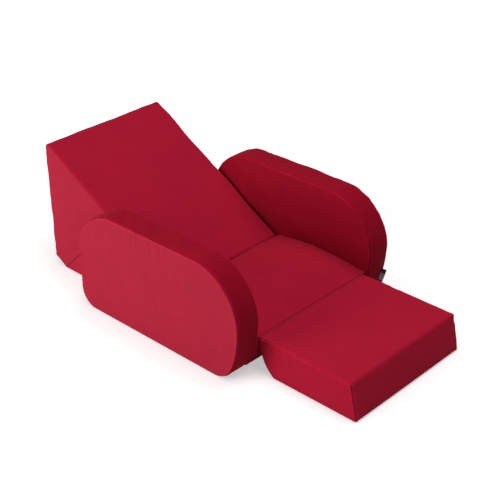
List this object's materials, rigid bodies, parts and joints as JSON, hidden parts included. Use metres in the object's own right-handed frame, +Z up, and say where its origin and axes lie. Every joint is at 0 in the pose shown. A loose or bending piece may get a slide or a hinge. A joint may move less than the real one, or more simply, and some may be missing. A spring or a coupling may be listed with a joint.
{
  "type": "child's folding foam armchair",
  "caption": "Low foam armchair for a baby or toddler: D-shaped arms, a seat, a leg rest that folds over onto the seat, and a wedge back that lies down or is raised, all in removable covers.",
  "frame": {"origin": "on the floor, at the middle of the overall length and width with the chair opened out", "axes": "+X to the sitter's left, +Y from the leg rest to the back, +Z up"},
  "size_m": [0.422, 0.799, 0.2692],
  "materials": {
    "cover": "matte",
    "foam": "matte",
    "zip_tape": "matte",
    "zip_slider": "satin",
    "hook_and_loop": "matte",
    "hinge_tape": "matte",
    "tag": "matte"
  },
  "bodies": {
    "chair": {"arm_left_foam": "foam", "arm_left_inner_panel": "cover", "arm_left_band": "cover", "arm_left_outer_panel": "cover", "arm_left_zip": "zip_tape", "arm_right_foam": "foam", "arm_right_inner_panel": "cover", "arm_right_band": "cover", "arm_right_outer_panel": "cover", "arm_right_zip": "zip_tape", "seat_foam": "foam", "seat_left_panel": "cover", "seat_band": "cover", "seat_right_panel": "cover", "seat_zip": "zip_tape", "arm_left_hook_strip": "hook_and_loop", "seat_left_loop_strip": "hook_and_loop", "arm_right_hook_strip": "hook_and_loop", "seat_right_loop_strip": "hook_and_loop", "arm_left_tag": "tag", "seat_front_hinge_tape": "hinge_tape", "seat_rear_hinge_tape": "hinge_tape"},
    "leg_rest": {"leg_rest_foam": "foam", "leg_rest_left_panel": "cover", "leg_rest_band": "cover", "leg_rest_right_panel": "cover", "leg_rest_zip": "zip_tape", "leg_rest_hinge_tape": "hinge_tape"},
    "back": {"back_foam": "foam", "back_left_panel": "cover", "back_band": "cover", "back_right_panel": "cover", "back_zip": "zip_tape", "back_hinge_tape": "hinge_tape"},
    "arm_left_zip_slider": {"arm_left_zip_slider": "zip_slider"},
    "arm_right_zip_slider": {"arm_right_zip_slider": "zip_slider"},
    "seat_zip_slider": {"seat_zip_slider": "zip_slider"},
    "leg_rest_zip_slider": {"leg_rest_zip_slider": "zip_slider"},
    "back_zip_slider": {"back_zip_slider": "zip_slider"}
  },
  "joints": [
    {"name": "leg_rest_fold", "type": "hinge", "parent": "chair", "child": "leg_rest", "pos_m": [0, -0.1755, 0.077], "axis": [-1, 0, 0], "range_deg": [0, 180]},
    {"name": "back_raise", "type": "hinge", "parent": "chair", "child": "back", "pos_m": [0, 0.053, 0.073], "axis": [1, 0, 0], "range_deg": [0, 47]},
    {"name": "arm_left_zip_slide", "type": "slide", "parent": "chair", "child": "arm_left_zip_slider", "axis": [0, 1, 0], "range_m": [0, 0.217]},
    {"name": "arm_right_zip_slide", "type": "slide", "parent": "chair", "child": "arm_right_zip_slider", "axis": [0, 1, 0], "range_m": [0, 0.217]},
    {"name": "seat_zip_slide", "type": "slide", "parent": "chair", "child": "seat_zip_slider", "axis": [1, 0, 0], "range_m": [0, 0.195]},
    {"name": "leg_rest_zip_slide", "type": "slide", "parent": "leg_rest", "child": "leg_rest_zip_slider", "axis": [1, 0, 0], "range_m": [0, 0.195]},
    {"name": "back_zip_slide", "type": "slide", "parent": "back", "child": "back_zip_slider", "axis": [1, 0, 0], "range_m": [0, 0.205]}
  ]
}
